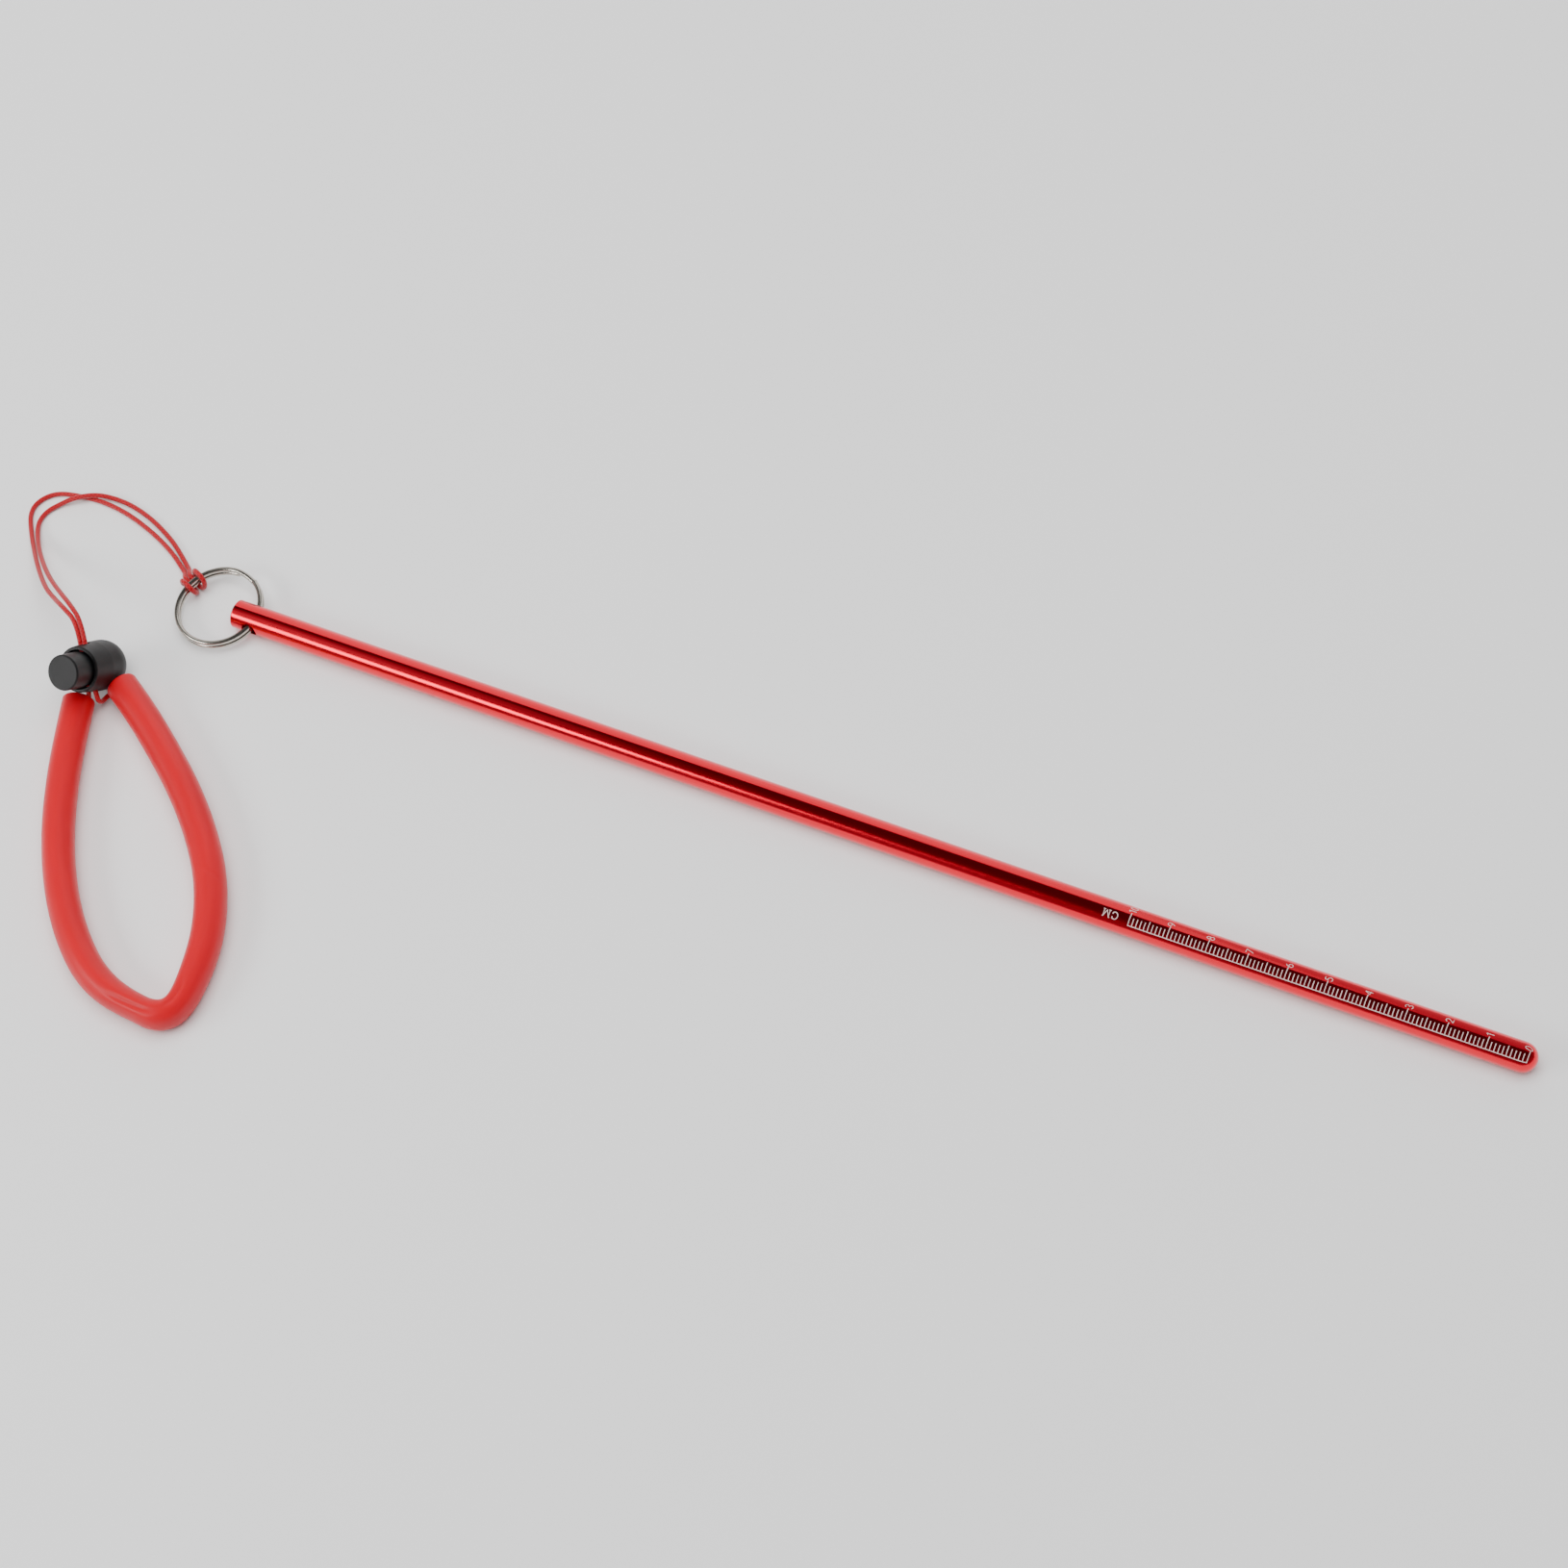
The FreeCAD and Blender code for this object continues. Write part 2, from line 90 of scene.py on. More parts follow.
# Lower strand of the lanyard from the cord lock to the hitch, then the upper strand.
STRAND_A = [
    (-196.04, -28.08, 14.54),
    (-198.52, -24.30, 17.85),
    (-203.80, -21.80, 17.90),
    (-209.60, -18.60, 14.80),
    (-215.20, -15.20, 11.90),
    (-223.60, -7.80, 6.60),
    (-230.60, -0.60, 2.30),
    (-235.00, 4.60, 0.70),
    (-238.30, 9.60, 0.67),
    (-238.20, 13.90, 0.68),
    (-234.80, 17.90, 0.67),
    (-228.40, 19.30, 0.67),
    (-221.40, 19.90, 0.68),
    (-213.00, 18.90, 0.67),
    (-203.20, 15.80, 0.67),
    (-195.80, 12.40, 0.67),
    (-190.80, 9.10, 0.72),
]
STRAND_B = [
    (-194.75, -27.66, 15.03),
    (-197.23, -23.88, 18.34),
    (-202.40, -20.50, 18.20),
    (-209.90, -15.90, 14.30),
    (-217.60, -10.70, 10.00),
    (-226.00, -3.40, 4.90),
    (-231.40, 2.50, 1.70),
    (-234.60, 7.60, 0.70),
    (-234.30, 11.60, 0.68),
    (-232.00, 14.70, 0.95),
    (-228.30, 17.50, 2.30),
    (-223.60, 20.30, 2.30),
    (-219.20, 21.90, 0.80),
    (-212.90, 21.60, 0.67),
    (-205.20, 19.40, 0.67),
    (-197.40, 15.60, 0.67),
    (-193.60, 13.00, 0.67),
    (-190.10, 10.40, 0.72),
]
# The cow hitch round the ring's wire: along the wire, outwards from the ring, up.
HITCH = [
    (-0.45, 5.80, -2.20),
    (0.32, 4.50, -1.26),
    (0.69, 3.30, -0.66),
    (0.69, 2.10, -1.00),
    (0.69, 1.05, -2.34),
    (0.80, -1.05, -2.34),
    (1.40, -2.42, -1.05),
    (1.95, -2.42, 1.00),
    (2.10, -1.02, 2.36),
    (2.10, 0.95, 2.36),
    (2.10, 2.36, 0.95),
    (2.10, 2.80, -1.25),
    (1.20, 2.95, -2.25),
    (-1.20, 2.95, -2.25),
    (-2.10, 2.80, -1.25),
    (-2.10, 2.36, 0.95),
    (-2.10, 0.95, 2.36),
    (-2.10, -1.02, 2.36),
    (-1.95, -2.42, 1.00),
    (-1.40, -2.42, -1.05),
    (-0.80, -1.05, -2.34),
    (-0.69, 1.05, -2.34),
    (-0.69, 2.10, -1.00),
    (-0.69, 3.30, -0.66),
    (-1.20, 4.50, -1.34),
    (-1.85, 5.80, -2.20),
]
# The hitch's place on the ring: the ring's near side in the cross hole, in millimetres, the ring's two
# small tilts, in degrees, and the hitch's angle round the ring.
RING_NEAR_SIDE = (-162.075, 0.0, 4.0)
RING_PITCH = 2.5
RING_ROLL = 3.2
RING_RADIUS = 11.2
HITCH_ANGLE = 156.0

# The wrist sleeve's centre line.  WRIST_OUT and WRIST_BACK, further down, are the cord's way through the
# lock to the sleeve and back; between them the cord follows the sleeve.
SLEEVE = [
    (-193.35, -38.95, 4.25),
    (-190.20, -48.00, 4.25),
    (-186.20, -58.60, 4.25),
    (-180.30, -71.60, 4.25),
    (-172.90, -84.10, 4.25),
    (-163.90, -95.60, 4.25),
    (-153.50, -105.00, 4.25),
    (-145.20, -109.40, 4.25),
    (-136.80, -111.20, 4.25),
    (-128.00, -111.60, 4.25),
    (-124.10, -107.60, 4.25),
    (-124.60, -98.80, 4.25),
    (-127.30, -86.60, 4.25),
    (-133.80, -73.50, 4.25),
    (-142.90, -62.40, 4.25),
    (-154.30, -51.80, 4.25),
    (-167.20, -42.20, 4.25),
    (-178.00, -34.85, 4.25),
    (-185.00, -30.75, 4.25),
]
# The sleeve's kink, in millimetres along the tube: middle and half width of a wide and a narrow bell, and
# the shares of the radius that it loses at the sides, and gains outwards and upwards.
WIDE_BELL = (103.0, 14.0)
NARROW_BELL = (105.0, 4.0)
SIDE_LOSS = 0.20
OUTWARD_GAIN = 0.16
UPWARD_GAIN = 0.03
# The two long creases along the top, through the kink: depth (mm), angle round the section (degrees) and
# the place (mm) where it has that angle, lean (degrees per mm), half width (degrees), middle (mm) and
# half length (mm).
LONG_CREASES = [
    (0.60, 112.0, 97.0, 0.8, 10.0, 98.5, 6.0),
    (0.60, 84.0, 112.0, 1.6, 8.0, 112.0, 4.5),
]
# The fine crease across the far branch: depth (mm), place (mm), angle round the section (degrees),
# lean (mm per degree), half width (mm) and half length (degrees).
CROSS_CREASE = (0.10, 147.0, 95.0, 0.07, 0.45, 38.0)

WRIST_OUT = [
    (-196.04, -28.08, 14.54),
    (-189.95, -37.40, 6.40),
    (-190.90, -38.80, 5.20),
    (-192.10, -40.20, 4.60),
    (-192.20, -42.60, 4.30),
    (-191.10, -46.60, 4.20),
    (-188.20, -54.40, 4.25),
    (-184.60, -62.80, 4.30),
]
WRIST_BACK = [
    (-176.80, -36.20, 3.90),
    (-181.00, -34.00, 3.35),
    (-184.00, -32.40, 3.15),
    (-186.05, -31.90, 2.90),
    (-187.50, -33.00, 2.50),
    (-188.05, -34.80, 2.65),
    (-187.85, -36.80, 3.60),
    (-188.20, -37.65, 6.28),
    (-194.75, -27.66, 15.03),
]


def hitch_points():
    """The hitch's route placed on the ring: its three numbers run along the wire, outwards and up."""
    pitch = Matrix.Rotation(math.radians(-RING_PITCH), 3, "Y")
    turn = pitch @ Matrix.Rotation(math.radians(RING_ROLL), 3, "X")
    angle = math.radians(HITCH_ANGLE)
    outward = turn @ Vector((math.cos(angle), math.sin(angle), 0))
    along = turn @ Vector((-math.sin(angle), math.cos(angle), 0))
    upward = turn @ Vector((0, 0, 1))
    middle = Vector(RING_NEAR_SIDE) - turn @ Vector((RING_RADIUS, 0, 0)) + outward * RING_RADIUS
    return [tuple(middle + along * a + outward * b + upward * c) for a, b, c in HITCH]


# ----------------------------------------------------------------------------- meshes

LINE_SPACING = 0.35 * MM
CORD_SIDES = 16
SLEEVE_SIDES = 48
# The sleeve's cut ends: steps round the rim, and how far it stands out as a share of half the wall.
RIM_STEPS = 8
RIM_ROUNDING = 0.45


def route_line(route, spacing):
    """Evenly spaced points on the NURBS curve of order 3 whose control points are the route's.

    Returns the points and their distances along the curve, both in metres.
    """
    curve = bpy.data.curves.new("route", "CURVE")
    curve.dimensions = "3D"
    curve.resolution_u = 24
    spline = curve.splines.new("NURBS")
    spline.points.add(len(route) - 1)
    for point, place in zip(spline.points, route):
        point.co = (*(value * MM for value in place), 1.0)
    spline.order_u = 3
    spline.use_endpoint_u = True
    holder = bpy.data.objects.new("route", curve)
    mesh = bpy.data.meshes.new_from_object(holder)
    line = np.empty(len(mesh.vertices) * 3)
    mesh.vertices.foreach_get("co", line)
    line = line.reshape(-1, 3)
    bpy.data.objects.remove(holder)
    bpy.data.curves.remove(curve)
    bpy.data.meshes.remove(mesh)
    steps = np.linalg.norm(np.diff(line, axis=0), axis=1)
    line = line[np.concatenate(([True], steps > 1e-9))]
    distance = np.concatenate(([0.0], np.cumsum(np.linalg.norm(np.diff(line, axis=0), axis=1))))
    even = np.linspace(0.0, distance[-1], int(round(distance[-1] / spacing)) + 1)
    line = np.stack([np.interp(even, distance, line[:, axis]) for axis in range(3)], axis=1)
    return line, even


def unit(vectors):
    """Each vector divided by its own length."""
    return vectors / np.linalg.norm(vectors, axis=-1, keepdims=True)


def level_frames(line):
    """Tangent, side and top vectors of a line that lies flat: top is +Z, side is top cross tangent."""
    tangent = unit(np.gradient(line, axis=0))
    top = np.tile((0.0, 0.0, 1.0), (len(line), 1))
    return tangent, unit(np.cross(top, tangent)), top


def rolled_frames(line):
    """Tangent, side and top vectors along any line, each pair turned as little as it can from the last.

    Each side is the last one less its part along the new tangent, at unit length.
    """
    tangent = unit(np.gradient(line, axis=0))
    side = np.empty_like(tangent)
    side[0] = np.cross((0.0, 0.0, 1.0), tangent[0])
    for number in range(1, len(line)):
        side[number] = side[number - 1] - tangent[number] * np.dot(side[number - 1], tangent[number])
        side[number] /= np.linalg.norm(side[number])
    side[0] /= np.linalg.norm(side[0])
    return tangent, side, np.cross(tangent, side)


def surface(name, grid, uv, rows_close=False, end_caps=False):
    """A mesh on a grid of points: rows along the piece, columns once round it, so columns always close.

    uv holds one more column than the grid, and one more row when the rows close, so that the seam keeps
    its place.
    """
    rows, columns = grid.shape[:2]
    row = np.arange(rows if rows_close else rows - 1)[:, None]
    column = np.arange(columns)[None, :]
    corners = [(row, column), (row, column + 1), (row + 1, column + 1), (row + 1, column)]
    faces = np.stack([(r % rows) * columns + c % columns for r, c in corners], axis=-1).reshape(-1, 4)
    corner_uv = np.stack([uv[r, c] for r, c in corners], axis=2).reshape(-1, 2)
    face_list = faces.tolist()
    if end_caps:
        first = list(range(columns))[::-1]
        last = [(rows - 1) * columns + c for c in range(columns)]
        face_list += [first, last]
        cap_uv = [uv[0, c] for c in first] + [uv[-1, c] for c in range(columns)]
        corner_uv = np.concatenate([corner_uv, np.array(cap_uv)])
    mesh = bpy.data.meshes.new(name)
    mesh.from_pydata(grid.reshape(-1, 3).tolist(), [], face_list)
    mesh.uv_layers.new(name="UVMap").uv.foreach_set("vector", corner_uv.astype(np.float32).ravel())
    mesh.shade_smooth()
    mesh.update()
    return show(name, mesh)


def show(name, mesh):
    """An object for a mesh, at the origin, in the scene."""
    piece = bpy.data.objects.new(name, mesh)
    bpy.context.scene.collection.objects.link(piece)
    return piece


def dress(piece, material):
    """Puts one material on a piece or a CAD node, through its own slots."""
    if not piece.material_slots:
        piece.data.materials.append(material)
    for slot in piece.material_slots:
        slot.material = material


def braided_tube(name, route, diameter):
    """A round tube: at each point of the line, radius times (cosine side + sine top).

    Its UV map is in millimetres: along the cord and round it.
    """
    line, distance = route_line(route, LINE_SPACING)
    _, side, top = rolled_frames(line)
    angle = np.linspace(0.0, 2 * math.pi, CORD_SIDES + 1)
    ring = angle[:-1][None, :, None]
    spoke = np.cos(ring) * side[:, None, :] + np.sin(ring) * top[:, None, :]
    grid = line[:, None, :] + diameter / 2 * spoke
    along, around = np.meshgrid(distance / MM, angle * diameter / 2 / MM, indexing="ij")
    piece = surface(name, grid, np.stack([along, around], axis=-1), end_caps=True)
    return piece, line


# ----------------------------------------------------------------------------- materials

def add(tree, kind, links=None, **settings):
    """Adds a node.  links gives its inputs, each a value or another node's output."""
    node = tree.nodes.new(kind)
    for key, value in settings.items():
        setattr(node, key, value)
    for key, value in (links or {}).items():
        if isinstance(value, bpy.types.NodeSocket):
            tree.links.new(value, node.inputs[key])
        else:
            node.inputs[key].default_value = value
    return node


def new_material(name):
    """A material whose node tree is empty, and that tree."""
    material = bpy.data.materials.new(name)
    material.use_nodes = True
    material.node_tree.nodes.clear()
    return material, material.node_tree


# A noise at a scale of N / MM has about N grains to a millimetre.  A colour mix takes its share at
# input 0 and its two colours at inputs 6 and 7, and gives its colour at output 2.

def anodised_aluminium(colour):
    """Dyed anodised aluminium bar, drawn and bright-dipped: a coloured mirror under a clear oxide layer.

    Drawing leaves faint lines along X, about 0.4 mm apart round the rod.
    """
    material, tree = new_material("anodised_aluminium")
    place = add(tree, "ShaderNodeTexCoord")
    drawn = add(tree, "ShaderNodeMapping",
                {"Vector": place.outputs["Object"], "Scale": (6.0, 900.0, 900.0)})
    lines = add(tree, "ShaderNodeTexNoise", {"Vector": drawn.outputs[0], "Scale": 3.0, "Detail": 3.0})
    dull = add(tree, "ShaderNodeMapRange",
               {"Value": lines.outputs["Fac"], "To Min": 0.15, "To Max": 0.26})
    relief = add(tree, "ShaderNodeBump",
                 {"Height": lines.outputs["Fac"], "Distance": 0.004 * MM, "Strength": 0.35})
    dye = add(tree, "ShaderNodeMix",
              {0: lines.outputs["Fac"], 6: colour, 7: darker(colour, 0.82)}, data_type="RGBA")
    shader = add(tree, "ShaderNodeBsdfPrincipled", {
        "Base Color": dye.outputs[2],
        "Metallic": 1.0,
        "Roughness": dull.outputs[0],
        "Normal": relief.outputs[0],
        "Coat Weight": 0.35,
        "Coat Roughness": 0.08,
        "Coat IOR": 1.5,
    })
    add(tree, "ShaderNodeOutputMaterial", {"Surface": shader.outputs["BSDF"]})
    return material


def etched_mark(colour):
    """Laser-etched aluminium: the dye is burnt off, and the bare oxide is left matt and pale.

    The grit is about 0.1 mm.
    """
    material, tree = new_material("laser_etched_mark")
    place = add(tree, "ShaderNodeTexCoord")
    grit = add(tree, "ShaderNodeTexNoise",
               {"Vector": place.outputs["Object"], "Scale": 9.0 / MM, "Detail": 2.0})
    tone = add(tree, "ShaderNodeMix",
               {0: grit.outputs["Fac"], 6: colour, 7: linear("#D9B9B5")}, data_type="RGBA")
    relief = add(tree, "ShaderNodeBump", {"Height": grit.outputs["Fac"], "Distance": 0.01 * MM})
    shader = add(tree, "ShaderNodeBsdfPrincipled", {
        "Base Color": tone.outputs[2],
        "Roughness": 0.65,
        "Normal": relief.outputs[0],
    })
    add(tree, "ShaderNodeOutputMaterial", {"Surface": shader.outputs["BSDF"]})
    return material


def plated_steel(colour):
    """Nickel-plated spring wire, tumbled: bright, with duller patches of about 2 mm.

    Its fine scratches are about 0.2 mm apart.
    """
    material, tree = new_material("nickel_plated_steel")
    place = add(tree, "ShaderNodeTexCoord")
    patches = add(tree, "ShaderNodeTexNoise",
                  {"Vector": place.outputs["Object"], "Scale": 0.5 / MM, "Detail": 3.0})
    scratches = add(tree, "ShaderNodeTexNoise",
                    {"Vector": place.outputs["Object"], "Scale": 6.0 / MM, "Detail": 4.0})
    dull = add(tree, "ShaderNodeMapRange",
               {"Value": patches.outputs["Fac"], "To Min": 0.12, "To Max": 0.30})
    relief = add(tree, "ShaderNodeBump",
                 {"Height": scratches.outputs["Fac"], "Distance": 0.01 * MM, "Strength": 0.4})
    tone = add(tree, "ShaderNodeMix",
               {0: patches.outputs["Fac"], 6: colour, 7: linear("#A9A298")}, data_type="RGBA")
    shader = add(tree, "ShaderNodeBsdfPrincipled", {
        "Base Color": tone.outputs[2],
        "Metallic": 1.0,
        "Roughness": dull.outputs[0],
        "Normal": relief.outputs[0],
    })
    add(tree, "ShaderNodeOutputMaterial", {"Surface": shader.outputs["BSDF"]})
    return material


def braided_nylon(colour, circumference):
    """Braided nylon: shiny filaments in two crossing sets of four, so small diamonds cover the cord."""
    material, tree = new_material("braided_nylon")
    place = add(tree, "ShaderNodeTexCoord")
    strand = circumference / MM / math.sqrt(2) / 4
    waves = []
    for lean in (45.0, -45.0):
        turned = add(tree, "ShaderNodeMapping",
                     {"Vector": place.outputs["UV"], "Rotation": (0.0, 0.0, math.radians(lean))})
        # a wave node repeats every pi / 10 units at scale 1
        waves.append(add(tree, "ShaderNodeTexWave",
                         {"Vector": turned.outputs[0], "Scale": math.pi / 10 / strand},
                         wave_type="BANDS", bands_direction="X"))
    height = add(tree, "ShaderNodeMath", {0: waves[0].outputs["Fac"], 1: waves[1].outputs["Fac"]},
                 operation="MAXIMUM")
    fibres = add(tree, "ShaderNodeTexNoise",
                 {"Vector": place.outputs["UV"], "Scale": 9.0, "Detail": 3.0})
    level = add(tree, "ShaderNodeMath", {0: fibres.outputs["Fac"], 1: 0.25, 2: height.outputs[0]},
                operation="MULTIPLY_ADD")
    relief = add(tree, "ShaderNodeBump",
                 {"Height": level.outputs[0], "Distance": 0.1 * MM, "Strength": 0.8})
    # painted shade: the hollows between the strands, where the braid's height is low, are painted darker,
    # down to 0.45 of the cord's colour
    tone = add(tree, "ShaderNodeMix",
               {0: height.outputs[0], 6: darker(colour, 0.45), 7: colour}, data_type="RGBA")
    shader = add(tree, "ShaderNodeBsdfPrincipled", {
        "Base Color": tone.outputs[2],
        "Roughness": 0.5,
        "Normal": relief.outputs[0],
        "Sheen Weight": 0.25,
        "Sheen Roughness": 0.4,
    })
    add(tree, "ShaderNodeOutputMaterial", {"Surface": shader.outputs["BSDF"]})
    return material


def soft_vinyl(colour):
    """Soft vinyl tube, extruded: satin and a little translucent, with shallow waves from the die.

    The UV map is in millimetres, so the waves are about 20 mm long and 3 mm wide.
    """
    material, tree = new_material("soft_vinyl_tube")
    place = add(tree, "ShaderNodeTexCoord")
    stretched = add(tree, "ShaderNodeMapping",
                    {"Vector": place.outputs["UV"], "Scale": (0.05, 0.35, 1.0)})
    waves = add(tree, "ShaderNodeTexNoise",
                {"Vector": stretched.outputs[0], "Scale": 1.0, "Detail": 3.0})
    fine = add(tree, "ShaderNodeTexNoise",
               {"Vector": place.outputs["Object"], "Scale": 2.5 / MM, "Detail": 3.0})
    level = add(tree, "ShaderNodeMath", {0: fine.outputs["Fac"], 1: 0.12, 2: waves.outputs["Fac"]},
                operation="MULTIPLY_ADD")
    relief = add(tree, "ShaderNodeBump",
                 {"Height": level.outputs[0], "Distance": 0.2 * MM, "Strength": 0.4})
    dull = add(tree, "ShaderNodeMapRange",
               {"Value": waves.outputs["Fac"], "To Min": 0.34, "To Max": 0.50})
    tone = add(tree, "ShaderNodeMix",
               {0: waves.outputs["Fac"], 6: colour, 7: linear("#C20A1C")}, data_type="RGBA")
    shader = add(tree, "ShaderNodeBsdfPrincipled", {
        "Base Color": tone.outputs[2],
        "Roughness": dull.outputs[0],
        "Normal": relief.outputs[0],
        "Specular IOR Level": 0.35,
        "Subsurface Weight": 0.4,
        "Subsurface Radius": (1.0, 0.02, 0.04),
        "Subsurface Scale": 1.5 * MM,
        "Sheen Weight": 0.12,
        "Sheen Roughness": 0.3,
        "Sheen Tint": linear("#FF8F8F"),
    })
    add(tree, "ShaderNodeOutputMaterial", {"Surface": shader.outputs["BSDF"]})
    return material


def moulded_plastic(colour):
    """Injection-moulded nylon from a spark-eroded mould: near black and satin.

    Its fine even grain is about 0.2 mm, and patches of about 3 mm are rubbed a little smoother.
    """
    material, tree = new_material("moulded_black_nylon")
    place = add(tree, "ShaderNodeTexCoord")
    grain = add(tree, "ShaderNodeTexNoise",
                {"Vector": place.outputs["Object"], "Scale": 4.5 / MM, "Detail": 2.0})
    rubbed = add(tree, "ShaderNodeTexNoise",
                 {"Vector": place.outputs["Object"], "Scale": 0.35 / MM, "Detail": 4.0})
    relief = add(tree, "ShaderNodeBump",
                 {"Height": grain.outputs["Fac"], "Distance": 0.03 * MM, "Strength": 0.5})
    dull = add(tree, "ShaderNodeMapRange",
               {"Value": rubbed.outputs["Fac"], "To Min": 0.42, "To Max": 0.60})
    tone = add(tree, "ShaderNodeMix",
               {0: rubbed.outputs["Fac"], 6: colour, 7: linear("#141314")}, data_type="RGBA")
    shader = add(tree, "ShaderNodeBsdfPrincipled", {
        "Base Color": tone.outputs[2],
        "Roughness": dull.outputs[0],
        "Normal": relief.outputs[0],
    })
    add(tree, "ShaderNodeOutputMaterial", {"Surface": shader.outputs["BSDF"]})
    return material


def spring_wire(colour):
    """Hard-drawn spring wire: plain bright steel, dulled unevenly by the die every 0.3 mm or so."""
    material, tree = new_material("drawn_spring_wire")
    place = add(tree, "ShaderNodeTexCoord")
    drawn = add(tree, "ShaderNodeTexNoise",
                {"Vector": place.outputs["Object"], "Scale": 3.0 / MM, "Detail": 3.0})
    dull = add(tree, "ShaderNodeMapRange",
               {"Value": drawn.outputs["Fac"], "To Min": 0.2, "To Max": 0.4})
    shader = add(tree, "ShaderNodeBsdfPrincipled",
                 {"Base Color": colour, "Metallic": 1.0, "Roughness": dull.outputs[0]})
    add(tree, "ShaderNodeOutputMaterial", {"Surface": shader.outputs["BSDF"]})
    return material


def studio_paper(colour):
    """Plain matt paper for the floor."""
    material, tree = new_material("studio_paper")
    shader = add(tree, "ShaderNodeBsdfPrincipled",
                 {"Base Color": colour, "Roughness": 0.9, "Specular IOR Level": 0.2})
    add(tree, "ShaderNodeOutputMaterial", {"Surface": shader.outputs["BSDF"]})
    return material


# ----------------------------------------------------------------------------- etched scale

# Single-line numerals as a marking laser draws them, in a box 0.6 wide and 1 high.  A line gives its
# two ends; an arc gives its centre, its two radii and the angles that it runs between.
GLYPHS = {
    "0": [("arc", 0.30, 0.50, 0.24, 0.46, 0, 360)],
    "1": [("line", 0.12, 0.78, 0.34, 0.96), ("line", 0.34, 0.96, 0.34, 0.04)],
    "2": [
        ("arc", 0.30, 0.70, 0.23, 0.26, 170, -30),
        ("line", 0.50, 0.57, 0.07, 0.04), ("line", 0.07, 0.04, 0.55, 0.04),
    ],
    "3": [("arc", 0.28, 0.73, 0.21, 0.23, 150, -90), ("arc", 0.28, 0.27, 0.25, 0.23, 90, -150)],
    "4": [
        ("line", 0.42, 0.04, 0.42, 0.96), ("line", 0.42, 0.96, 0.05, 0.32),
        ("line", 0.05, 0.32, 0.57, 0.32),
    ],
    "5": [
        ("line", 0.51, 0.96, 0.14, 0.96), ("line", 0.14, 0.96, 0.11, 0.54),
        ("arc", 0.27, 0.32, 0.26, 0.28, 125, -150),
    ],
    "6": [("arc", 0.30, 0.29, 0.23, 0.25, 0, 360), ("arc", 0.62, 0.34, 0.55, 0.62, 180, 118)],
    "7": [("line", 0.06, 0.96, 0.56, 0.96), ("line", 0.56, 0.96, 0.22, 0.04)],
    "8": [("arc", 0.30, 0.73, 0.19, 0.22, 0, 360), ("arc", 0.30, 0.27, 0.23, 0.24, 0, 360)],
    "9": [("arc", 0.30, 0.71, 0.23, 0.25, 0, 360), ("arc", -0.02, 0.66, 0.55, 0.62, 0, -62)],
}
# The unit is cut heavier, with feet on its strokes.
UNIT_C = [
    ("arc", 0.50, 0.50, 0.40, 0.45, 48, 312),
    ("line", 0.78, 0.66, 0.80, 0.92), ("line", 0.78, 0.12, 0.80, 0.34),
]
UNIT_M = [
    ("line", 0.16, 0.04, 0.16, 0.94), ("line", 0.16, 0.94, 0.50, 0.08), ("line", 0.50, 0.08, 0.84, 0.94),
    ("line", 0.84, 0.94, 0.84, 0.04), ("line", 0.02, 0.04, 0.30, 0.04), ("line", 0.70, 0.04, 0.98, 0.04),
    ("line", 0.02, 0.95, 0.20, 0.95), ("line", 0.80, 0.95, 0.98, 0.95),
]


# The scale in millimetres: its ticks, the figures' gaps and pitches, and the widths of their lines.
SCALE_LENGTH = 100
FIGURE_GAP = 0.05
ZERO_SHIFT = 0.55
DIGIT_PITCH = 0.58
FIGURE_LINE = 0.15
UNIT_C_PLACE = 102.8
UNIT_M_PLACE = 104.8
UNIT_C_WIDTH = 0.95
UNIT_M_WIDTH = 1.05
UNIT_C_LINE = 0.22
UNIT_M_LINE = 0.17
UNIT_FOOT_ANGLE = math.radians(9.5)
MARK_LIFT = 0.03
MARK_THICKNESS = 0.06
# How many points a ribbon has along it.
BASE_SAMPLES = 120
TICK_SAMPLES = 12
GLYPH_SAMPLES = 14


def stroke_points(stroke):
    """Points along a line or an elliptical arc of a glyph."""
    if stroke[0] == "line":
        _, x0, y0, x1, y1 = stroke
        share = np.linspace(0, 1, GLYPH_SAMPLES)
        return np.stack([x0 + (x1 - x0) * share, y0 + (y1 - y0) * share], axis=1)
    _, x, y, rx, ry, start, end = stroke
    angle = np.radians(np.linspace(start, end, 2 * GLYPH_SAMPLES))
    return np.stack([x + rx * np.cos(angle), y + ry * np.sin(angle)], axis=1)


def ribbon(points, width):
    """A flat strip along points in the plane: each point moved half the width to both sides."""
    along = np.gradient(points, axis=0)
    along /= np.linalg.norm(along, axis=1, keepdims=True)
    across = np.stack([-along[:, 1], along[:, 0]], axis=1)
    return np.stack([points - across * width / 2, points + across * width / 2], axis=1)


def lay_on_rod(flat, lift):
    """Wraps flat places on the rod: x runs along it, and the other number, an arc length, runs round it.

    The rod's radius is full up to its tip's centre, and then falls as the tip's sphere does.
    """
    x = flat[..., 0]
    turn = flat[..., 1] / ROD_RADIUS
    past = np.clip(x - (ROD_TIP - ROD_RADIUS), 0.0, ROD_RADIUS)
    radius = np.sqrt(ROD_RADIUS ** 2 - past ** 2) + lift
    return np.stack([x, -np.sin(turn) * radius, ROD_AXIS_HEIGHT + np.cos(turn) * radius], axis=-1)


